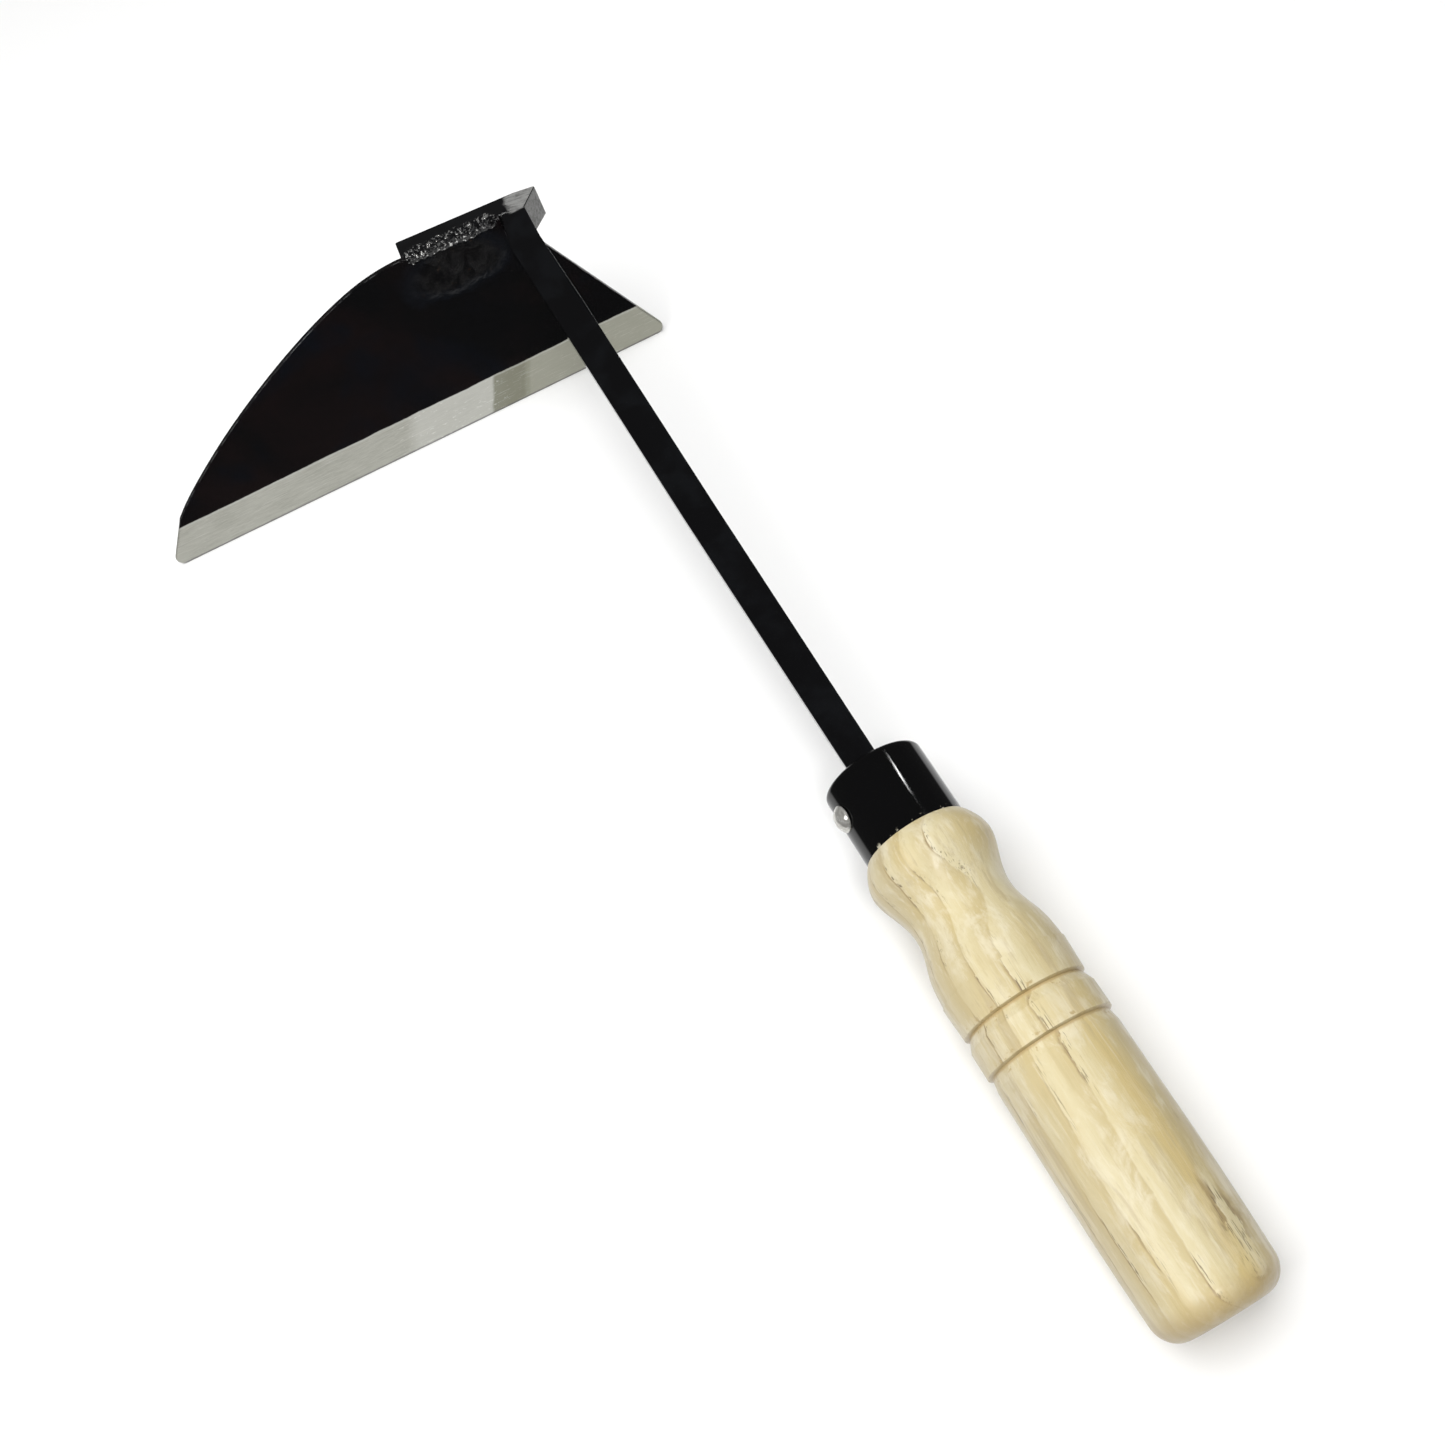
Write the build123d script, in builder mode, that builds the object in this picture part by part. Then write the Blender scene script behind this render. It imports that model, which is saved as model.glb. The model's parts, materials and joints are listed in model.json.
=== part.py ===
# Draw hoe: a half-moon blade welded to a forged neck, riveted into a turned wooden handle.
# The hoe lies as it rests on the ground, on its cutting edge and on the rim of its butt. +Z is up,
# +X runs from the blade to the butt, and the origin is the middle of its footprint. Millimetres.
from build123d import *
import os
from math import cos, radians, sin, tan

os.makedirs("parts", exist_ok=True)

# how the hoe lies
corner_x = -175.22         # head corner: the middle of the neck's top edge where it leaves the head
corner_y = 62.53
blade_lean = 12.616        # the blade's top leans away from the handle
handle_dip = 6.799         # the handle falls towards its butt
blade_skew = 5.1           # the cutting edge is this far from square to the handle

# blade, measured from the cutting edge below the head corner
blade_height = 61.2
blade_thickness = 2.0
bevel_height = 13.8
edge_thickness = 0.35
tip_radius = 2.7
point_x = -155.7           # where the cutting edge meets the line of the left side
heel_x = 31.7              # where it meets the line of the right side
side_top = (-143.5, 16.1)
back_points = [(-130.8, 25.6), (-113.1, 36.5), (-95.5, 45.7), (-75.4, 54.6), (-56.8, 60.8)]
back_end = (-40.0, 63.1)
back_start_slope = (1.0, 0.9)
back_end_slope = (1.0, 0.03)
seam_end_height = 61.7
notch_x = -4.8             # the plate is notched round the neck
notch_end_x = 1.2
notch_height = 53.9

# head: the neck's short leg, behind the blade, measured from the head corner
leg_left = -37.6
leg_right = 14.0           # before its end is cut
leg_depth = 9.5
leg_height = 11.0
leg_height_left = 6.4
leg_rise = tan(radians(2.9))        # the leg climbs to the left
leg_tilt = tan(radians(3.4))        # and its top climbs to the back
end_slant = 6.2            # the right end is cut back to front on a slant
facet_fall = tan(radians(7.7))      # the top is hammered down at the corner
facet_tilt = 0.12
leg_round = 0.5

# neck: distance from the head, offset to the right, width, thickness, roll
axis_left = 2.53           # the handle's axis passes this far left of the head corner
axis_below = 2.0           # and this far below it
neck_length = 220.3        # head to ferrule
neck_roll = 12.0
root_width = 7.8
root_thickness = 6.0
root_roll = 7.7
root_round = 0.5
bar_sections = [
    (14.0, 0.55, 9.9, 5.3),
    (45.0, 0.5, 9.9, 5.2),
    (130.0, -0.35, 9.4, 5.1),
    (neck_length, -0.65, 8.55, 5.0),
    (neck_length + 88.0, -0.65, 4.6, 3.4),
]
bar_round = 0.4

# ferrule
ferrule_diameter = 27.0
ferrule_length = 21.3
ferrule_wall = 1.0
ferrule_round = 1.5
slot_gap = 0.4

# rivet
rivet_down = 8.7           # below the ferrule's closed end
rivet_turn = 21.0          # its head points this far above square to the handle's side
rivet_diameter = 2.6
rivet_gap = 0.05
head_diameter = 7.0
head_height = 2.1
head_rim = 0.35
tail_diameter = 5.0
tail_tip_diameter = 3.4
tail_height = 0.9

# handle: distance from the ferrule's closed end, radius
handle_end = 144.4
spigot_start = 1.6
spigot_gap = 0.05
shoulder = (ferrule_length, 13.75)
profile = [
    (24.2, 15.5),
    (28.4, 16.6),
    (32.7, 15.7),
    (36.8, 14.2),
    (42.2, 13.15),
    (47.6, 13.95),
    (54.4, 15.85),
    (60.4, 16.35),
]
swell_end = (68.3, 16.1)
shoulder_slope = (1.0, 0.75)
swell_slope = (1.0, -0.05)
band_start = 71.8
band_end = 78.5
band_radius = 16.45
grip_start = 82.0
grip_radius = 16.0
taper_start = 110.0
taper_middle = (124.0, 15.8)
butt_radius = 15.4
groove_depth = 1.0
groove_step = 0.5
butt_round = 6.3
bore_gap = 0.15
bore_extra = 2.0

# weld beads: runs of overlapping blobs, from left to right
bead_count = 14
bead_left = -36.4
bead_right = -6.2
bead_radius = 2.3
bead_out = 1.1
bead_ripple = 0.25
bead_beat = 2.4            # how fast the lumps come and go
rear_left = -33.0
rear_right = -2.0
rear_radius = 2.9
rear_in = 0.3              # its middle lies behind the blade
rear_lift = 0.2

# directions: right along the cutting edge, up the blade, and out of the blade towards the handle
skew = radians(blade_skew)
lean = radians(blade_lean)
dip = radians(handle_dip)
right = Vector(sin(skew), cos(skew), 0)
out = Vector(cos(skew) * cos(lean), -sin(skew) * cos(lean), sin(lean))
up = out.cross(right)
corner = Vector(corner_x, corner_y, blade_height * cos(lean))

# the handle's axis, from the head to the butt
along = Vector(cos(dip), 0, -sin(dip))
axis_start = corner - right * axis_left - up * axis_below
mouth = axis_start + along * neck_length
side = (right - along * right.dot(along)).normalized()
above = along.cross(side)

edge_plane = Plane(corner - up * blade_height, x_dir=right, z_dir=out)
bevel_plane = Plane(corner - up * blade_height, x_dir=up, z_dir=right)
corner_plane = Plane(corner, x_dir=right, z_dir=out)
turning_plane = Plane(mouth, x_dir=along, z_dir=side)
turning_axis = Axis(mouth, along)
rivet_centre = mouth + along * rivet_down
rivet_out = above * sin(radians(rivet_turn)) - side * cos(radians(rivet_turn))
rivet_plane = Plane(rivet_centre, z_dir=rivet_out)
rivet_turning_plane = Plane(rivet_centre, x_dir=rivet_out, z_dir=along)


def bar_plane(distance, offset):
    """Section plane of the bar, rolled with it, at a distance from the head."""
    centre = axis_start + along * distance + side * offset
    return Plane(centre, x_dir=side, z_dir=along).rotated((0, 0, -neck_roll))


def leg_section(x, height):
    """Corners of the head leg's section: front top, back top, back bottom, front bottom."""
    front_top = -leg_rise * x + root_width / 2 * (facet_fall - leg_rise)
    back_top = front_top + leg_depth * leg_tilt
    return [(0, front_top), (-leg_depth, back_top), (-leg_depth, back_top - height), (0, front_top - height)]


# blade: a plate with a notch for the neck and a bevel ground on the handle's side
with BuildPart() as blade:
    with BuildSketch(edge_plane):
        with BuildLine():
            Line((point_x, 0), side_top)
            Spline(side_top, *back_points, back_end, tangents=[back_start_slope, back_end_slope])
            Polyline(
                back_end,
                (notch_x, seam_end_height),
                (notch_x, notch_height),
                (notch_end_x, notch_height),
                (heel_x, 0),
                (point_x, 0),
            )
        make_face()
    extrude(amount=blade_thickness)
    tips = blade.edges().filter_by(Axis(corner, out)).group_by(Axis(corner, up))[0]
    fillet(tips, tip_radius)
    with BuildSketch(bevel_plane):
        with BuildLine():
            Polyline(
                (bevel_height, blade_thickness),
                (0, edge_thickness),
                (0, 2 * blade_thickness),
                (bevel_height, 2 * blade_thickness),
                close=True,
            )
        make_face()
    extrude(amount=-2 * point_x, both=True, mode=Mode.SUBTRACT)
blade.part.label = "blade"

# neck: the short leg behind the blade, the long flat bar and the tang, forged from one piece
end_cut = Plane(corner + right * root_width / 2, z_dir=right * leg_depth + out * end_slant)
facet_cut = Plane(
    corner - right * root_width / 2 + up * root_width / 2 * facet_fall,
    z_dir=up + right * facet_fall + out * facet_tilt,
)
with BuildPart() as neck:
    for x, height in ((leg_left, leg_height_left), (leg_right, leg_height)):
        with BuildSketch(Plane(corner + right * x, x_dir=out, z_dir=-right)):
            Polygon(*leg_section(x, height), align=None)
    loft(ruled=True)
    split(bisect_by=end_cut, keep=Keep.BOTTOM)
    split(bisect_by=facet_cut, keep=Keep.BOTTOM)
    crease = neck.edges().sort_by_distance(corner)[0]
    fillet([edge for edge in neck.edges() if edge != crease], leg_round)
    with BuildSketch(corner_plane.rotated((0, 0, -root_roll))):
        with Locations((0, -root_thickness / 2)):
            RectangleRounded(root_width, root_thickness, root_round)
    for distance, offset, width, thickness in bar_sections:
        with BuildSketch(bar_plane(distance, offset)):
            RectangleRounded(width, thickness, bar_round)
    loft(ruled=True)
    with BuildSketch(rivet_plane):
        Circle(rivet_diameter / 2 + rivet_gap)
    extrude(amount=ferrule_diameter, both=True, mode=Mode.SUBTRACT)
neck.part.label = "neck"

# ferrule: a drawn cap over the end of the wood, with a slot for the neck
with BuildPart() as ferrule:
    outer = ferrule_diameter / 2
    inner = outer - ferrule_wall
    with BuildSketch(turning_plane):
        with BuildLine():
            Polyline(
                (0, 0),
                (0, outer),
                (ferrule_length, outer),
                (ferrule_length, inner),
                (ferrule_wall, inner),
                (ferrule_wall, 0),
                close=True,
            )
        make_face()
    revolve(axis=turning_axis)
    rims = ferrule.edges().filter_by(GeomType.CIRCLE).sort_by(Axis(mouth, along))
    fillet(rims[0], ferrule_round)
    distance, offset, width, thickness = bar_sections[-2]
    with BuildSketch(bar_plane(distance, offset)):
        RectangleRounded(width + 2 * slot_gap, thickness + 2 * slot_gap, bar_round)
    extrude(amount=2 * ferrule_wall, both=True, mode=Mode.SUBTRACT)
    with BuildSketch(rivet_plane):
        Circle(rivet_diameter / 2 + rivet_gap)
    extrude(amount=ferrule_diameter, both=True, mode=Mode.SUBTRACT)
ferrule.part.label = "ferrule"

# rivet: a round head outside the ferrule, a shank through the tang and a formed tail
dome_height = head_height - head_rim
dome_radius = (head_diameter**2 / 4 + dome_height**2) / (2 * dome_height)
with BuildPart() as rivet:
    start = ferrule_diameter / 2
    with BuildSketch(rivet_turning_plane):
        with BuildLine():
            Polyline(
                (start + head_height, 0),
                (-start - tail_height, 0),
                (-start - tail_height, tail_tip_diameter / 2),
                (-start, tail_diameter / 2),
                (-start, rivet_diameter / 2),
                (start, rivet_diameter / 2),
                (start, head_diameter / 2),
                (start + head_rim, head_diameter / 2),
            )
            RadiusArc(
                (start + head_rim, head_diameter / 2),
                (start + head_height, 0),
                dome_radius,
            )
        make_face()
    revolve(axis=Axis(rivet_centre, rivet_out))
rivet.part.label = "rivet"

# handle: turned wood with a spigot inside the ferrule, two grooves and a straight grip
with BuildPart() as handle:
    spigot = ferrule_diameter / 2 - ferrule_wall - spigot_gap
    with BuildSketch(turning_plane):
        with BuildLine():
            Polyline(
                (handle_end, 0),
                (spigot_start, 0),
                (spigot_start, spigot),
                (ferrule_length, spigot),
                shoulder,
            )
            Spline(shoulder, *profile, swell_end, tangents=[shoulder_slope, swell_slope])
            Polyline(
                swell_end,
                (swell_end[0] + groove_step, swell_end[1] - groove_depth),
                (band_start, band_radius),
                (band_end, band_radius),
                (band_end + groove_step, band_radius - groove_depth),
                (grip_start, grip_radius),
                (taper_start, grip_radius),
            )
            ThreePointArc((taper_start, grip_radius), taper_middle, (handle_end - butt_round, butt_radius))
            RadiusArc(
                (handle_end - butt_round, butt_radius),
                (handle_end, butt_radius - butt_round),
                butt_round,
            )
            Line((handle_end, butt_radius - butt_round), (handle_end, 0))
        make_face()
    revolve(axis=turning_axis)
    for distance, offset, width, thickness in bar_sections[-2:]:
        reach = bore_extra if distance > neck_length else 0
        with BuildSketch(bar_plane(distance + reach, offset)):
            Rectangle(width + 2 * bore_gap, thickness + 2 * bore_gap)
    loft(ruled=True, mode=Mode.SUBTRACT)
    with BuildSketch(rivet_plane):
        Circle(rivet_diameter / 2 + rivet_gap)
    extrude(amount=ferrule_diameter, both=True, mode=Mode.SUBTRACT)
handle.part.label = "handle"

# seam weld: a lumpy bead over the joint between the blade's top edge and the head leg
bead_step = (bead_right - bead_left) / (bead_count - 1)
seam_slope = (seam_end_height - back_end[1]) / (notch_x - back_end[0])
with BuildPart() as seam_weld:
    for lump in range(bead_count):
        x = bead_left + lump * bead_step
        seam_top = seam_end_height - blade_height + seam_slope * (x - notch_x)
        centre = corner + right * x + up * seam_top + out * bead_out
        with BuildSketch(Plane(centre, x_dir=out, z_dir=right)):
            Circle(bead_radius + bead_ripple * sin(bead_beat * lump))
    loft(ruled=True)
    add(blade.part, mode=Mode.SUBTRACT)
    add(neck.part, mode=Mode.SUBTRACT)
seam_weld.part.label = "seam_weld"

# rear weld: a fillet in the corner between the leg's underside and the back of the blade
rear_step = (rear_right - rear_left) / (bead_count - 1)
with BuildPart() as rear_weld:
    for lump in range(bead_count):
        x = rear_left + lump * rear_step
        share = (x - leg_left) / (leg_right - leg_left)
        height = leg_height_left + share * (leg_height - leg_height_left)
        centre = corner + right * x + up * (leg_section(x, height)[-1][1] + rear_lift) - out * rear_in
        with BuildSketch(Plane(centre, x_dir=out, z_dir=right)):
            Circle(rear_radius + bead_ripple * cos(bead_beat * lump))
    loft(ruled=True)
    add(blade.part, mode=Mode.SUBTRACT)
    add(neck.part, mode=Mode.SUBTRACT)
    with BuildSketch(edge_plane):
        Rectangle(-4 * point_x, -4 * point_x)
    extrude(amount=bead_radius * 2, mode=Mode.SUBTRACT)
rear_weld.part.label = "rear_weld"

for piece in (blade, neck, seam_weld, rear_weld, ferrule, rivet, handle):
    export_step(piece.part, f"parts/{piece.part.label}.step")
    box = piece.part.bounding_box()
    print(piece.part.label, piece.part.is_valid, round(piece.part.volume), box.min, box.max)
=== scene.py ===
import json
import bpy
from math import atan, cos, pi, radians, sin
from mathutils import Euler, Matrix, Vector


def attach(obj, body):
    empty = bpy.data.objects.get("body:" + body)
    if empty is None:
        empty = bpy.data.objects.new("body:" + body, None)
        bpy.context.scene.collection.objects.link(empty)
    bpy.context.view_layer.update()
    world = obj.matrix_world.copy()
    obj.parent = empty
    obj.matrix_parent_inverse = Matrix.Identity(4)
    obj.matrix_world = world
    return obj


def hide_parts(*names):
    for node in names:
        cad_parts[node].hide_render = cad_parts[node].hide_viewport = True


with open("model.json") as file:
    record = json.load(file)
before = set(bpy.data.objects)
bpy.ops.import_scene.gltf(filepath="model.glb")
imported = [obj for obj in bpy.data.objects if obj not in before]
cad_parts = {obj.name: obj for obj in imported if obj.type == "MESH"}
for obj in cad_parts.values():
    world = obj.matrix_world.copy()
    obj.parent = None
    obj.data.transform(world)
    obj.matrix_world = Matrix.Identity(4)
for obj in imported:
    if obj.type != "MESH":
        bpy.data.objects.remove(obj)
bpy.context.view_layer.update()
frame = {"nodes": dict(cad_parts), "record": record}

nodes = frame["nodes"]
mm = 0.001
print("frame loaded:", sorted(nodes))


# small helpers that lay nodes into a material
def startMaterial(name):
    mat = bpy.data.materials.new(name)
    mat.use_nodes = True
    return mat, mat.node_tree.nodes["Principled BSDF"]


def plug(mat, socket, value):
    if isinstance(value, bpy.types.NodeSocket):
        mat.node_tree.links.new(value, socket)
    elif isinstance(value, tuple) and len(value) == 3 and socket.type == "RGBA":
        socket.default_value = (*value, 1.0)
    else:
        socket.default_value = value


def addNode(mat, kind, inputs=None, **settings):
    node = mat.node_tree.nodes.new(kind)
    for key, value in settings.items():
        setattr(node, key, value)
    for key, value in (inputs or {}).items():
        plug(mat, node.inputs[key], value)
    return node


def dressShader(mat, shader, **sockets):
    for key, value in sockets.items():
        plug(mat, shader.inputs[key.replace("_", " ")], value)


def objectCoords(mat):
    return addNode(mat, "ShaderNodeTexCoord").outputs["Object"]


def localCoords(mat, origin, turn):
    mapping = addNode(mat, "ShaderNodeMapping", {"Vector": objectCoords(mat)}, vector_type="TEXTURE")
    mapping.inputs["Location"].default_value = origin
    mapping.inputs["Rotation"].default_value = turn
    return mapping.outputs["Vector"]


def stretch(mat, vector, scale):
    return addNode(mat, "ShaderNodeMapping", {"Vector": vector, "Scale": scale}).outputs["Vector"]


def split(mat, vector):
    node = addNode(mat, "ShaderNodeSeparateXYZ", {"Vector": vector})
    return node.outputs["X"], node.outputs["Y"], node.outputs["Z"]


def noise(mat, vector, scale, detail=3.0, roughness=0.5, distortion=0.0):
    inputs = {"Vector": vector, "Scale": scale, "Detail": detail, "Roughness": roughness,
              "Distortion": distortion}
    return addNode(mat, "ShaderNodeTexNoise", inputs).outputs["Fac"]


def maths(mat, operation, a, b=0.0):
    return addNode(mat, "ShaderNodeMath", {0: a, 1: b}, operation=operation).outputs[0]


def times(mat, a, b):
    return maths(mat, "MULTIPLY", a, b)


def plus(mat, a, b):
    return maths(mat, "ADD", a, b)


def ramp(mat, value, low, high, outLow=0.0, outHigh=1.0):
    inputs = {"Value": value, "From Min": low, "From Max": high, "To Min": outLow, "To Max": outHigh}
    return addNode(mat, "ShaderNodeMapRange", inputs, interpolation_type="SMOOTHSTEP").outputs["Result"]


def mixColour(mat, factor, a, b):
    return addNode(mat, "ShaderNodeMix", {0: factor, 6: a, 7: b}, data_type="RGBA").outputs[2]


def mixValue(mat, factor, a, b):
    return addNode(mat, "ShaderNodeMix", {0: factor, 2: a, 3: b}).outputs[0]


def lumpy(mat, vector, scale, spread, detail=4.0, roughness=0.6):
    swing = noise(mat, vector, scale, detail, roughness)
    return times(mat, plus(mat, swing, -0.5), spread)


def roundedEdge(mat, radius, low, high):
    rounded = addNode(mat, "ShaderNodeBevel", {"Radius": radius}, samples=6).outputs["Normal"]
    normal = addNode(mat, "ShaderNodeNewGeometry").outputs["True Normal"]
    dot = addNode(mat, "ShaderNodeVectorMath", {0: normal, 1: rounded}, operation="DOT_PRODUCT")
    return rounded, ramp(mat, dot.outputs["Value"], high, low)


def facing(mat, direction, low, high):
    normal = addNode(mat, "ShaderNodeNewGeometry").outputs["True Normal"]
    dot = addNode(mat, "ShaderNodeVectorMath", {0: normal, 1: direction}, operation="DOT_PRODUCT")
    return ramp(mat, dot.outputs["Value"], low, high)


def bump(mat, height, strength, distance, under=None):
    inputs = {"Height": height, "Strength": strength, "Distance": distance}
    if under is not None:
        inputs["Normal"] = under
    return addNode(mat, "ShaderNodeBump", inputs).outputs["Normal"]


def dress(name, mat):
    for row in nodes[name].material_slots:
        row.material = mat


# how the hoe lies: u runs right along the cutting edge, v up the blade, w out towards the handle
lie = {"corner": (-175.22, 62.53), "lean": radians(12.616), "skew": radians(5.1), "height": 61.2 * mm}
right = Vector((sin(lie["skew"]), cos(lie["skew"]), 0))
out = Vector((cos(lie["skew"]) * cos(lie["lean"]), -sin(lie["skew"]) * cos(lie["lean"]), sin(lie["lean"])))
up = out.cross(right)
bladeTurn = Matrix((right, up, out)).transposed().to_euler()
headTop = Vector((*lie["corner"], 0)) * mm + Vector((0, 0, lie["height"] * cos(lie["lean"])))
edgeFoot = headTop - up * lie["height"]

grip = next(m for m in frame["record"]["mounts"] if m["name"] == "grip")
along = Vector(grip["axis"])
mouth = Vector(grip["pos_m"]) - along * 96 * mm   # middle of the ferrule's closed end
handleTurn = Euler((0, atan(-along.z / along.x), 0))


def onBlade(u, v, w):
    return edgeFoot + (right * u + up * v + out * w) * mm


# camera
view = {"place": Vector((217.57, 16.44, 361.78)) * mm, "aim": Vector((14.85, 34.53, 40.87)) * mm,
        "roll": radians(-25.98), "lens": 37.37}
cameraData = bpy.data.cameras.new("viewCamera")
cameraData.lens, cameraData.sensor_width, cameraData.clip_start = view["lens"], 36.0, 0.01
camera = bpy.data.objects.new("viewCamera", cameraData)
bpy.context.scene.collection.objects.link(camera)
level = (view["aim"] - view["place"]).to_track_quat("-Z", "Y").to_matrix()
turned = level @ Matrix.Rotation(view["roll"], 3, "Z")
camera.matrix_world = Matrix.Translation(view["place"]) @ turned.to_4x4()
bpy.context.scene.camera = camera
print("camera set")

# blade: gloss lacquer, a ground bevel with its grain along the edge, and a heat mark under the weld
blade = {"bevel": 13.8 * mm, "slant": 0.41, "lacquer": (0.0022, 0.0022, 0.0026),
         "lacquerWarm": (0.0055, 0.0028, 0.0030), "lacquerCool": (0.0022, 0.0030, 0.0055),
         "steelLight": (0.56, 0.56, 0.50), "steelDark": (0.36, 0.36, 0.31), "burr": (0.17, 0.17, 0.17),
         "chafedAndGlint": (0.20, 0.20, 0.20), "tide": (0.68, 0.68, 0.64), "speck": (0.86, 0.86, 0.82)}
# painted reflections on the ground bevel: a lighter band on the left, an olive dark band where the neck is
# reflected, and a mid grey band to the right
bevelReflections = [{"start": -56, "end": -28.5, "fade": 7, "tone": (0.72, 0.72, 0.67), "share": 0.55},
              {"start": -28.5, "end": -16, "fade": 1.4, "tone": (0.235, 0.235, 0.165), "share": 0.8},
              {"start": -16, "end": 60, "fade": 2.0, "tone": (0.39, 0.39, 0.31), "share": 0.7}]
bladeMat, shader = startMaterial("bladeFinish")
local = localCoords(bladeMat, edgeFoot, bladeTurn)
u, v, w = split(bladeMat, local)
line = plus(bladeMat, v, lumpy(bladeMat, stretch(bladeMat, local, (1, 0.2, 0.2)), 60, 1.4 * mm, 5))
below = ramp(bladeMat, line, blade["bevel"] + 0.16 * mm, blade["bevel"] - 0.16 * mm)
ground = times(bladeMat, below, ramp(bladeMat, w, 0.02 * mm, 0.06 * mm))
grain = noise(bladeMat, stretch(bladeMat, local, (170, 2300, 2300)), 1.0, 5, 0.75)
cloud = noise(bladeMat, stretch(bladeMat, local, (0.5, 1, 1)), 120, 5, 0.65)
steel = mixColour(bladeMat, ramp(bladeMat, grain, 0.3, 0.7), blade["steelDark"], blade["steelLight"])
steel = mixColour(bladeMat, ramp(bladeMat, cloud, 0.3, 0.7, 0.15, 0.6), steel, blade["steelLight"])
slide = times(bladeMat, plus(bladeMat, v, -blade["bevel"]), -blade["slant"])
across = plus(bladeMat, plus(bladeMat, u, slide), lumpy(bladeMat, local, 90, 1.8 * mm))
# lay the painted reflection bands across the bevel
for zone in bevelReflections:
    fadeIn = ramp(bladeMat, across, (zone["start"] - zone["fade"]) * mm, zone["start"] * mm)
    fadeOut = ramp(bladeMat, across, (zone["end"] + zone["fade"]) * mm, zone["end"] * mm)
    share = times(bladeMat, times(bladeMat, fadeIn, fadeOut), zone["share"])
    steel = mixColour(bladeMat, share, steel, zone["tone"])
specks = ramp(bladeMat, noise(bladeMat, stretch(bladeMat, local, (600, 1500, 1500)), 1.0, 3, 0.6), 0.60, 0.70)
bright = times(bladeMat, ramp(bladeMat, u, -80 * mm, -50 * mm), ramp(bladeMat, u, -25 * mm, -31 * mm))
specks = times(bladeMat, specks, ramp(bladeMat, bright, 0, 1, 0.12, 0.75))
steel = mixColour(bladeMat, specks, steel, blade["speck"])
scratches = noise(bladeMat, stretch(bladeMat, local, (90, 5200, 5200)), 1.0, 2, 0.5)
scratches = ramp(bladeMat, scratches, 0.63, 0.70)
steel = mixColour(bladeMat, times(bladeMat, scratches, 0.4), steel, blade["speck"])
burr = ramp(bladeMat, plus(bladeMat, v, lumpy(bladeMat, local, 300, 0.5 * mm)), 0.8 * mm, 0.3 * mm, 0.0, 0.7)
steel = mixColour(bladeMat, burr, steel, blade["burr"])
fromLine = maths(bladeMat, "ABSOLUTE", plus(bladeMat, line, 0.4 * mm - blade["bevel"]))
steel = mixColour(bladeMat, ramp(bladeMat, fromLine, 0.5 * mm, 0.1 * mm, 0, 0.45), steel, blade["tide"])
smudge = noise(bladeMat, local, 20, 4, 0.6, 0.6)
drift = noise(bladeMat, local, 31, 3, 0.6, 0.4)
lacquer = mixColour(bladeMat, ramp(bladeMat, smudge, 0.45, 0.66), blade["lacquer"], blade["lacquerWarm"])
lacquer = mixColour(bladeMat, ramp(bladeMat, drift, 0.50, 0.70), lacquer, blade["lacquerCool"])

# the heat mark: a dull oval with a bluish rim where the lacquer blistered over the weld's far side
heat = {"centre": Vector((-24, 53.5, 2)) * mm, "squash": (0.48, 1.0, 1.0), "reach": 9 * mm,
        "inside": (0.0065, 0.0062, 0.0066), "rim": (0.005, 0.007, 0.011), "rust": (0.030, 0.017, 0.010)}
away = addNode(bladeMat, "ShaderNodeVectorMath", {0: local, 1: heat["centre"]}, operation="SUBTRACT")
away = stretch(bladeMat, away.outputs[0], heat["squash"])
away = addNode(bladeMat, "ShaderNodeVectorMath", {0: away}, operation="LENGTH")
away = plus(bladeMat, away.outputs["Value"], lumpy(bladeMat, local, 90, 7 * mm))
inHeat = ramp(bladeMat, away, heat["reach"], heat["reach"] - 2.5 * mm)
fromRim = maths(bladeMat, "ABSOLUTE", plus(bladeMat, away, 1.2 * mm - heat["reach"]))
blister = noise(bladeMat, local, 240, 5, 0.65, 0.8)
blistered = times(bladeMat, inHeat, ramp(bladeMat, blister, 0.4, 0.62))
lacquer = mixColour(bladeMat, blistered, lacquer, heat["inside"])
heatRim = ramp(bladeMat, fromRim, 2.6 * mm, 0.3 * mm, 0, 0.45)
lacquer = mixColour(bladeMat, heatRim, lacquer, heat["rim"])
rust = times(bladeMat, inHeat, ramp(bladeMat, noise(bladeMat, local, 330, 4, 0.7), 0.60, 0.70))
lacquer = mixColour(bladeMat, times(bladeMat, rust, 0.7), lacquer, heat["rust"])
# lighter grey broken lines on the rounded edges: edge wear, and a painted highlight along the rims
rolled, rim = roundedEdge(bladeMat, 0.8 * mm, 0.80, 0.97)
chafedAndGlint = times(bladeMat, rim, ramp(bladeMat, noise(bladeMat, local, 200, 4, 0.6), 0.42, 0.60))
lacquer = mixColour(bladeMat, times(bladeMat, chafedAndGlint, 0.5), lacquer, blade["chafedAndGlint"])
dressShader(bladeMat, shader, Base_Color=mixColour(bladeMat, ground, lacquer, steel),
            Metallic=times(bladeMat, ground, 0.55), Specular_IOR_Level=0.45)
roughLacquer = mixValue(bladeMat, inHeat, ramp(bladeMat, smudge, 0.3, 0.7, 0.07, 0.16),
                        ramp(bladeMat, blister, 0.3, 0.7, 0.10, 0.28))
roughSteel = ramp(bladeMat, grain, 0.3, 0.7, 0.28, 0.42)
dressShader(bladeMat, shader, Roughness=mixValue(bladeMat, ground, roughLacquer, roughSteel))
peel = bump(bladeMat, noise(bladeMat, local, 220, 2), 0.05, 0.3 * mm, rolled)
welt = bump(bladeMat, times(bladeMat, blister, inHeat), 0.3, 0.6 * mm, peel)
dressShader(bladeMat, shader, Normal=bump(bladeMat, times(bladeMat, grain, ground), 0.3, 0.06 * mm, welt))
dress("blade", bladeMat)
print("blade finished")
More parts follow.
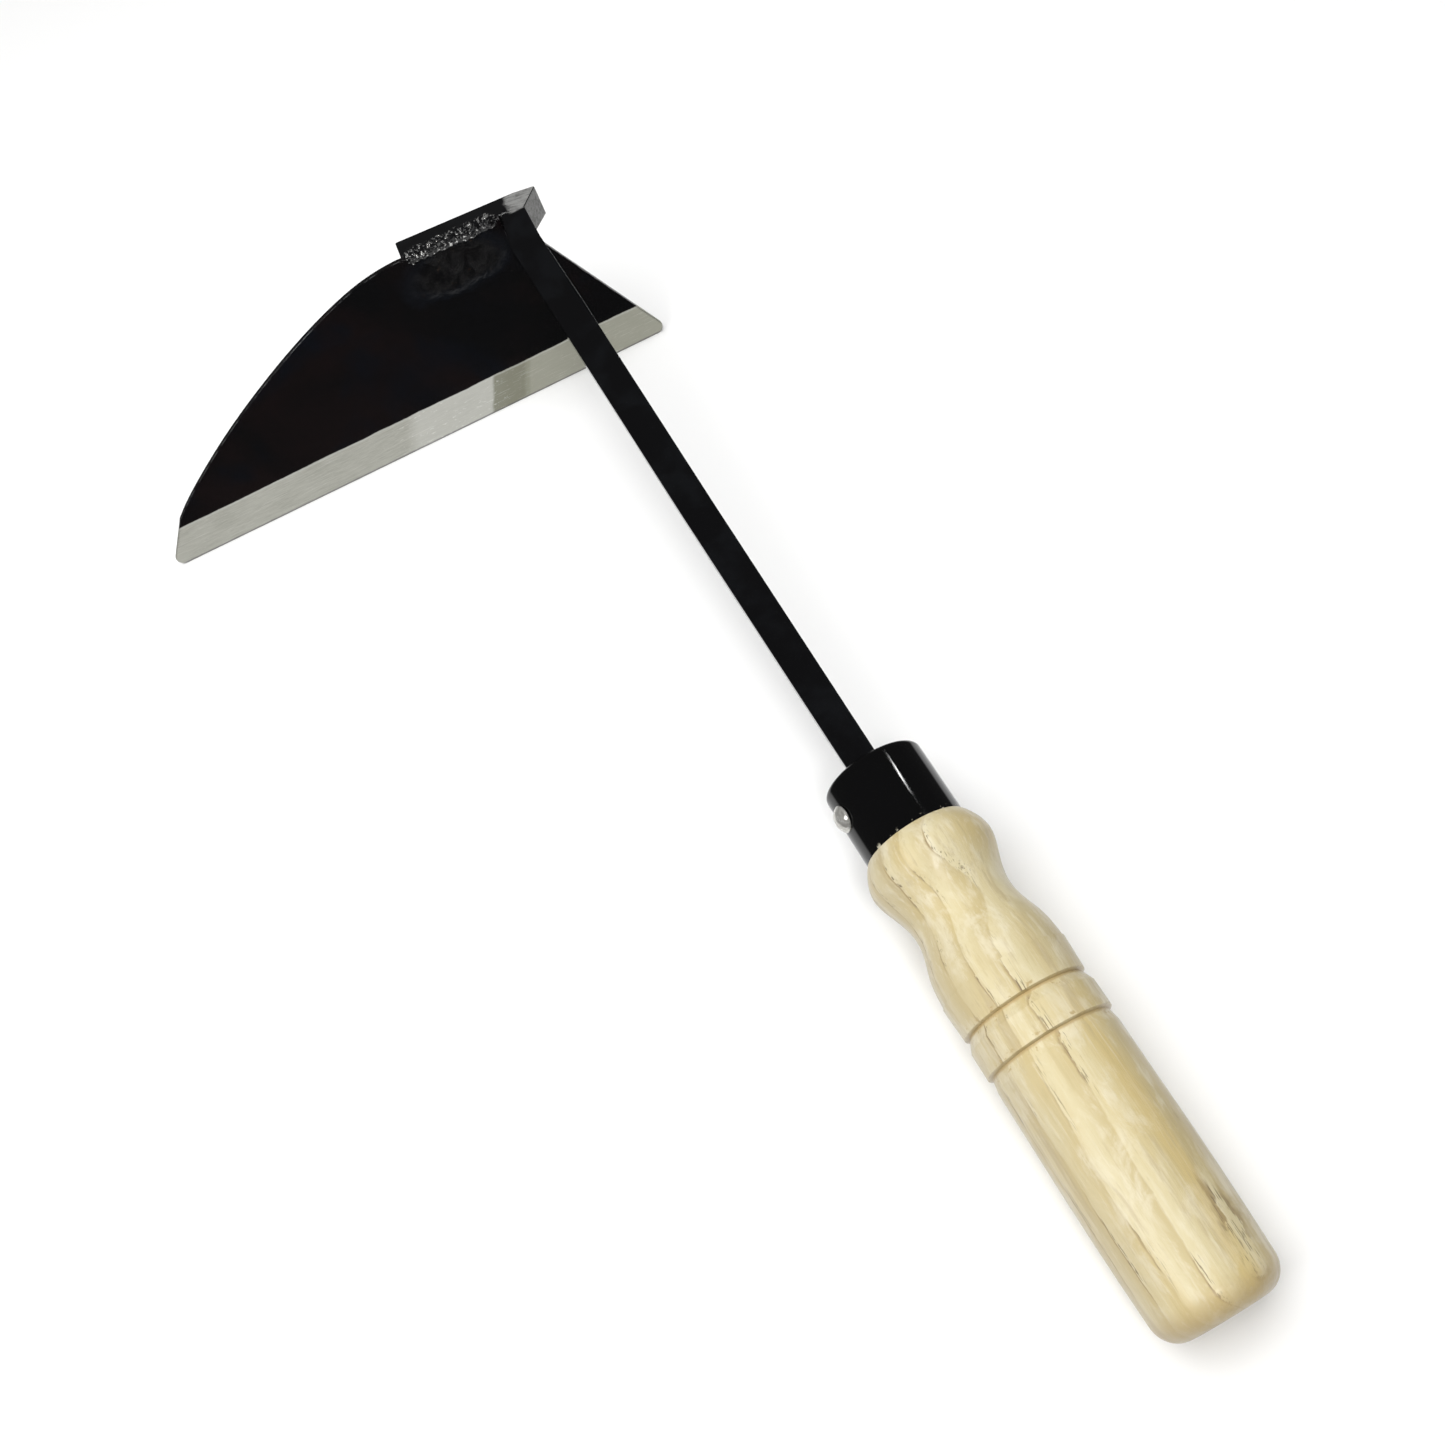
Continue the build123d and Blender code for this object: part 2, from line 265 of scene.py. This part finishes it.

# neck: lacquered forging; painted grey reflections on the head's upward faces at its right end, on its
# slanted end faces and on its left end face, picked by which way each face points
neck = {"black": (0.0022, 0.0022, 0.0026), "scale": (0.0038, 0.0042, 0.0050), "sheenDark": (0.13, 0.13, 0.125),
        "sheenLight": (0.38, 0.38, 0.37), "chafedAndGlint": (0.22, 0.22, 0.21), "patchEdge": -0.5 * mm,
        "endSlant": (9.5, 6.2), "leftEnd": -36 * mm}
neckMat, shader = startMaterial("neckFinish")
local = localCoords(neckMat, edgeFoot, bladeTurn)
u, v, w = split(neckMat, local)
dents = noise(neckMat, local, 85, 4, 0.55, 0.3)
pits = noise(neckMat, local, 620, 4, 0.65)
black = mixColour(neckMat, ramp(neckMat, dents, 0.46, 0.68), neck["black"], neck["scale"])
streak = noise(neckMat, stretch(neckMat, local, (240, 900, 1100)), 1.0, 5, 0.75)
# grey tone of the painted reflections, streaked and mottled darker
bareAndSheen = mixColour(neckMat, ramp(neckMat, streak, 0.28, 0.62), neck["sheenDark"], neck["sheenLight"])
sheenMottle = noise(neckMat, local, 210, 4, 0.6)
bareAndSheen = mixColour(neckMat, ramp(neckMat, sheenMottle, 0.56, 0.68, 0, 0.7), bareAndSheen, neck["sheenDark"])
ragged = plus(neckMat, u, lumpy(neckMat, local, 170, 8 * mm))
# where the painted reflections go: upward faces on the head's right end, the slanted end faces, the left end
# face
topSheen = times(neckMat, facing(neckMat, up, 0.72, 0.86),
              ramp(neckMat, ragged, neck["patchEdge"] - 1.2 * mm, neck["patchEdge"] + 1.2 * mm))
slant = Vector((*neck["endSlant"], 0)).normalized()
endSheen = facing(neckMat, right * slant.x + out * slant.y, 0.86, 0.93)
pastLeft = ramp(neckMat, u, neck["leftEnd"], neck["leftEnd"] - 1 * mm, 0, 0.9)
leftSheen = times(neckMat, facing(neckMat, -right, 0.9, 0.97), pastLeft)
onHead = ramp(neckMat, w, 1.5 * mm, 0.5 * mm)
paintedSheen = maths(neckMat, "MAXIMUM", maths(neckMat, "MAXIMUM", topSheen, times(neckMat, endSheen, 0.6)), leftSheen)
paintedSheen = times(neckMat, paintedSheen, onHead)
# lighter broken lines along the rounded edges: scuff wear and painted highlight lines
rolled, edges = roundedEdge(neckMat, 0.5 * mm, 0.86, 0.97)
broken = ramp(neckMat, noise(neckMat, stretch(neckMat, local, (1, 1, 0.35)), 330, 4, 0.65), 0.52, 0.64)
edgeChafeAndGlint = times(neckMat, times(neckMat, edges, broken), 0.75)
tone = mixColour(neckMat, edgeChafeAndGlint, mixColour(neckMat, paintedSheen, black, bareAndSheen), neck["chafedAndGlint"])
dressShader(neckMat, shader, Base_Color=tone, Metallic=times(neckMat, paintedSheen, 0.3), Specular_IOR_Level=0.5,
            Roughness=mixValue(neckMat, paintedSheen, ramp(neckMat, dents, 0.3, 0.7, 0.06, 0.14), 0.42))
forged = bump(neckMat, dents, 0.20, 0.9 * mm, rolled)
dressShader(neckMat, shader, Normal=bump(neckMat, pits, 0.12, 0.12 * mm, forged))
dress("neck", neckMat)
print("neck finished")


# welds: a run of frozen ripples, laid ring by ring from left to right
def layBead(name, node, start, finish, radius, rings, seed, lumps, mat):
    step = (finish - start) / rings
    heading = step.to_track_quat("Z", "Y").to_euler()
    bpy.ops.object.select_all(action="DESELECT")
    bpy.ops.mesh.primitive_circle_add(vertices=24, radius=radius * 0.35, fill_type="NGON", location=start,
                                      rotation=heading)
    bead = bpy.context.object
    bead.name = name
    bpy.ops.object.transform_apply(location=True, rotation=True, scale=True)
    bpy.ops.object.mode_set(mode="EDIT")
    bpy.ops.mesh.select_all(action="SELECT")
    grown = 0.35
    for ring in range(1, rings + 1):
        share = ring / rings
        ends = min(1.0, (share * (1 - share) * 14) ** 0.5 + 0.12)
        size = ends * (1 + 0.09 * sin(ring * 2.1 + seed) + 0.06 * sin(ring * 0.73 + 2 * seed))
        bpy.ops.mesh.extrude_region_move(TRANSFORM_OT_translate={"value": step})
        bpy.ops.transform.resize(value=(size / grown,) * 3, center_override=start + step * ring)
        grown = size
    bpy.ops.mesh.select_all(action="SELECT")
    bpy.ops.mesh.normals_make_consistent(inside=False)
    bpy.ops.object.mode_set(mode="OBJECT")
    smooth = bead.modifiers.new("round", "SUBSURF")
    smooth.levels = smooth.render_levels = 3
    bpy.ops.object.modifier_apply(modifier="round")
    for title, kind, size, strength in lumps:
        texture = bpy.data.textures.new(name + title, kind)
        texture.noise_scale = size * mm
        lump = bead.modifiers.new(title, "DISPLACE")
        lump.texture, lump.strength = texture, strength * mm
        lump.mid_level, lump.texture_coords = 0.5, "LOCAL"
        bpy.ops.object.modifier_apply(modifier=title)
    bpy.ops.object.shade_smooth()
    bead.data.materials.append(mat)
    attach(bead, "root")
    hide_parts(node)
    return bead


weld = {"radius": 2.3 * mm, "black": (0.003, 0.003, 0.0035), "bareAndSheen": (0.75, 0.75, 0.73)}
weldRuns = [
    {"name": "seamWeld", "node": "seam_weld", "start": (-37.0, 62.6, 0.9), "finish": (-5.4, 61.6, 0.9),
     "rings": 46, "seed": 1.3, "lumps": [("swells", "CLOUDS", 2.6, 1.3), ("drops", "CLOUDS", 0.8, 0.55)]},
    {"name": "rearWeld", "node": "rear_weld", "start": (-33.0, 55.3, -1.1), "finish": (-1.8, 51.2, -1.1),
     "rings": 44, "seed": 4.0, "lumps": [("swells", "CLOUDS", 2.6, 0.6), ("drops", "CLOUDS", 0.9, 0.3)]}]
weldMat, shader = startMaterial("weldFinish")
coords = objectCoords(weldMat)
spatter = noise(weldMat, coords, 1500, 3, 0.6)
ridges = noise(weldMat, coords, 650, 4, 0.6, 0.5)
glint = ramp(weldMat, noise(weldMat, coords, 900, 3, 0.6), 0.56, 0.62)
dressShader(weldMat, shader, Base_Color=mixColour(weldMat, glint, weld["black"], weld["bareAndSheen"]),
            Metallic=times(weldMat, glint, 0.9), Roughness=ramp(weldMat, spatter, 0.3, 0.7, 0.04, 0.14),
            Specular_IOR_Level=0.6)
rough = bump(weldMat, ridges, 0.5, 0.5 * mm)
dressShader(weldMat, shader, Normal=bump(weldMat, spatter, 0.35, 0.2 * mm, rough))
for run in weldRuns:
    layBead(run["name"], run["node"], onBlade(*run["start"]), onBlade(*run["finish"]), weld["radius"],
            run["rings"], run["seed"], run["lumps"], weldMat)
print("welds laid")

# ferrule: black gloss, chipped where the wood meets its rim
ferrule = {"black": (0.0018, 0.0018, 0.0020), "chip": (0.42, 0.39, 0.30), "length": 21.3 * mm}
ferruleMat, shader = startMaterial("ferruleFinish")
local = localCoords(ferruleMat, mouth, handleTurn)
haze = noise(ferruleMat, local, 150, 3)
down = split(ferruleMat, local)[0]
atRim = ramp(ferruleMat, down, ferrule["length"] - 1.3 * mm, ferrule["length"] - 0.2 * mm)
chips = times(ferruleMat, atRim, ramp(ferruleMat, noise(ferruleMat, local, 700, 3, 0.6), 0.60, 0.66))
dressShader(ferruleMat, shader, Base_Color=mixColour(ferruleMat, chips, ferrule["black"], ferrule["chip"]),
            Roughness=ramp(ferruleMat, haze, 0.3, 0.7, 0.04, 0.09), Specular_IOR_Level=0.5,
            Normal=bump(ferruleMat, haze, 0.03, 0.2 * mm))
dress("ferrule", ferruleMat)

# rivet: plated dome
rivet = {"dull": (0.55, 0.54, 0.50), "bright": (0.80, 0.79, 0.75)}
rivetMat, shader = startMaterial("rivetFinish")
coords = objectCoords(rivetMat)
rub = noise(rivetMat, stretch(rivetMat, coords, (1, 1, 3)), 600, 4, 0.6)
plate = mixColour(rivetMat, ramp(rivetMat, rub, 0.35, 0.65), rivet["dull"], rivet["bright"])
dressShader(rivetMat, shader, Base_Color=plate, Metallic=0.7, Normal=bump(rivetMat, rub, 0.08, 0.1 * mm),
            Roughness=ramp(rivetMat, rub, 0.3, 0.7, 0.16, 0.28))
dress("rivet", rivetMat)
print("ferrule and rivet finished")

# handle: pale ring-porous wood under a satin lacquer. x runs down the handle from the ferrule
wood = {"pith": (-64 * mm, -58 * mm), "ringWidth": 5.6 * mm, "ringShift": 0.30, "early": (0.66, 0.58, 0.36),
        "late": (0.50, 0.40, 0.195), "pale": (0.76, 0.70, 0.53), "rim": (0.33, 0.235, 0.11),
        "pore": (0.20, 0.15, 0.085), "streak": (0.46, 0.37, 0.215), "honey": (0.60, 0.47, 0.21),
        "shadeGrey": (0.50, 0.43, 0.29), "darkTan": (0.44, 0.32, 0.145), "butt": (136.5 * mm, 143 * mm),
        "grooves": (68.9 * mm, 79.1 * mm), "stripe": 7.4 * mm}
woodMat, shader = startMaterial("woodFinish")
local = localCoords(woodMat, mouth, handleTurn)
x, y, z = split(woodMat, local)
long = stretch(woodMat, local, (0.22, 1, 1))
fromPithY = plus(woodMat, y, -wood["pith"][0])
fromPithZ = plus(woodMat, z, -wood["pith"][1])
radius = plus(woodMat, times(woodMat, fromPithY, fromPithY), times(woodMat, fromPithZ, fromPithZ))
radius = plus(woodMat, maths(woodMat, "SQRT", radius), times(woodMat, x, 0.02))
ring = plus(woodMat, times(woodMat, radius, 1 / wood["ringWidth"]), wood["ringShift"])
ring = plus(woodMat, ring, lumpy(woodMat, long, 70, 1.0, 3, 0.5))
ring = plus(woodMat, ring, lumpy(woodMat, stretch(woodMat, local, (0.5, 1, 1)), 420, 0.16))
year = maths(woodMat, "FRACT", ring)
late = times(woodMat, ramp(woodMat, year, 0.25, 0.95), ramp(woodMat, year, 1.0, 0.95))
fibre = noise(woodMat, stretch(woodMat, local, (40, 900, 900)), 1.0, 5, 0.65)
mottle = noise(woodMat, stretch(woodMat, local, (0.5, 1, 1)), 170, 6, 0.65, 0.4)
flame = noise(woodMat, stretch(woodMat, local, (0.4, 1, 1)), 55, 4, 0.6, 0.5)
tone = mixColour(woodMat, times(woodMat, late, 0.75), wood["early"], wood["late"])
tone = mixColour(woodMat, ramp(woodMat, flame, 0.42, 0.68, 0, 0.5), tone, wood["honey"])
tone = mixColour(woodMat, ramp(woodMat, mottle, 0.46, 0.66, 0, 0.60), tone, wood["pale"])
tone = mixColour(woodMat, ramp(woodMat, mottle, 0.44, 0.28, 0, 0.40), tone, wood["late"])
# painted shade: the -y side, turned away from the light, is mixed greyer
tone = mixColour(woodMat, ramp(woodMat, y, -3 * mm, -15 * mm, 0, 0.35), tone, wood["shadeGrey"])
fromStripe = plus(woodMat, y, lumpy(woodMat, long, 55, 7 * mm, 4))
stripe = times(woodMat, ramp(woodMat, fromStripe, wood["stripe"] - 3.4 * mm, wood["stripe"] - 1 * mm),
               ramp(woodMat, fromStripe, wood["stripe"] + 1.6 * mm, wood["stripe"] + 0.7 * mm))
stripe = times(woodMat, stripe, ramp(woodMat, x, 60 * mm, 90 * mm, 0.2, 0.6))
tone = mixColour(woodMat, stripe, tone, wood["honey"])
tone = mixColour(woodMat, ramp(woodMat, fibre, 0.52, 0.70, 0, 0.40), tone, wood["pale"])
tone = mixColour(woodMat, ramp(woodMat, fibre, 0.46, 0.28, 0, 0.45), tone, wood["late"])
drawn = noise(woodMat, stretch(woodMat, local, (0.10, 1, 1)), 300, 5, 0.7, 0.2)
tone = mixColour(woodMat, ramp(woodMat, drawn, 0.53, 0.66, 0, 0.5), tone, wood["streak"])
vessels = noise(woodMat, stretch(woodMat, local, (260, 3000, 3000)), 1.0, 2, 0.45)
clumps = ramp(woodMat, noise(woodMat, stretch(woodMat, local, (0.35, 1, 1)), 150, 3), 0.44, 0.60)
poreZone = maths(woodMat, "MAXIMUM", ramp(woodMat, year, 0.20, 0.03), ramp(woodMat, year, 0.93, 0.99))
rim = times(woodMat, ramp(woodMat, year, 0.90, 0.97), ramp(woodMat, year, 1.0, 0.985))
tone = mixColour(woodMat, times(woodMat, times(woodMat, rim, clumps), 0.75), tone, wood["rim"])
pores = times(woodMat, ramp(woodMat, vessels, 0.56, 0.64), times(woodMat, poreZone, clumps))
tone = mixColour(woodMat, times(woodMat, pores, 0.9), tone, wood["pore"])
groove = None
# darker lines along the groove bottoms, with chips torn at their edges
for place in wood["grooves"]:
    fromGroove = plus(woodMat, plus(woodMat, x, -place), lumpy(woodMat, local, 500, 0.5 * mm))
    fromGroove = maths(woodMat, "ABSOLUTE", fromGroove)
    grooveDark = ramp(woodMat, fromGroove, 0.75 * mm, 0.1 * mm, 0, 0.8)
    torn = ramp(woodMat, noise(woodMat, local, 380, 4, 0.65), 0.58, 0.64)
    torn = times(woodMat, torn, ramp(woodMat, fromGroove, 1.9 * mm, 1.4 * mm))
    grooveDark = maths(woodMat, "MAXIMUM", grooveDark, times(woodMat, torn, 0.75))
    groove = grooveDark if groove is None else maths(woodMat, "MAXIMUM", groove, grooveDark)
tone = mixColour(woodMat, groove, tone, wood["darkTan"])
butt = ramp(woodMat, plus(woodMat, x, lumpy(woodMat, local, 120, 5 * mm)), *wood["butt"], 0, 0.65)
tone = mixColour(woodMat, butt, tone, wood["darkTan"])
dressShader(woodMat, shader, Base_Color=tone, Roughness=ramp(woodMat, fibre, 0.3, 0.7, 0.38, 0.55),
            Coat_Weight=0.5, Coat_Roughness=0.27)
relief = bump(woodMat, plus(woodMat, mottle, times(woodMat, fibre, 0.5)), 0.35, 0.7 * mm)
closed = maths(woodMat, "SUBTRACT", 1.0, pores)
dressShader(woodMat, shader, Normal=bump(woodMat, closed, 0.4, 0.12 * mm, relief))
dress("handle", woodMat)
print("handle finished")

# floor and light: a pale table in a dim room, so the lacquer stays black
studio = {"floorSize": 8.0, "floorTone": (0.93, 0.93, 0.925), "room": 0.07, "table": 0.95,
          "tableEdge": (-0.34, -0.46)}
softboxes = [{"name": "ceilingBox", "from": (-0.05, -0.12, 1.0), "away": 1.4, "aim": Vector((0, 0, 0)),
              "size": (1.4, 1.4), "glow": 4.2},
             {"name": "stripBox", "from": (-0.255, 0.607, 0.753), "away": 1.0, "aim": mouth + along * 10 * mm,
              "size": (0.012, 0.085), "glow": 40},
             {"name": "sparkBox", "from": (0.66, -0.02, 0.75), "away": 1.2, "aim": headTop,
              "size": (0.16, 0.16), "glow": 26},
             {"name": "edgeBox", "from": (0.45, -0.60, 0.66), "away": 1.0, "aim": onBlade(-70, 45, 2),
              "size": (0.25, 0.25), "glow": 7}]
bpy.ops.object.select_all(action="DESELECT")
bpy.ops.mesh.primitive_plane_add(size=studio["floorSize"], location=(0, 0, 0))
floor = bpy.context.object
floor.name = "floor"
floor.visible_glossy = False   # the world below shows in the lacquer instead
floorMat, shader = startMaterial("floorPaper")
tooth = noise(floorMat, objectCoords(floorMat), 400, 3)
dressShader(floorMat, shader, Base_Color=studio["floorTone"], Roughness=0.9, Specular_IOR_Level=0.1,
            Normal=bump(floorMat, tooth, 0.02, 0.2 * mm))
floor.data.materials.append(floorMat)

world = bpy.data.worlds.new("studioWorld")
world.use_nodes = True
height = split(world, addNode(world, "ShaderNodeTexCoord").outputs["Generated"])[2]
glow = ramp(world, height, *studio["tableEdge"], studio["room"], studio["table"])
world.node_tree.nodes["Background"].inputs["Color"].default_value = (1, 1, 1, 1)
plug(world, world.node_tree.nodes["Background"].inputs["Strength"], glow)
bpy.context.scene.world = world


def addSoftbox(box):
    width, height = box["size"]
    data = bpy.data.lights.new(box["name"], "AREA")
    data.shape = "RECTANGLE"
    data.size, data.size_y, data.energy = width, height, box["glow"] * pi * width * height
    place = box["aim"] + Vector(box["from"]).normalized() * box["away"]
    facingAim = (box["aim"] - place).to_track_quat("-Z", "Y").to_matrix()
    lamp = bpy.data.objects.new(box["name"], data)
    lamp.matrix_world = Matrix.Translation(place) @ facingAim.to_4x4()
    bpy.context.scene.collection.objects.link(lamp)
    return lamp


lamps = [addSoftbox(box) for box in softboxes]
lamps[0].visible_glossy = False   # the ceiling would grey the lacquer
bpy.context.scene.view_settings.view_transform = "Standard"
print("floor and lights set")
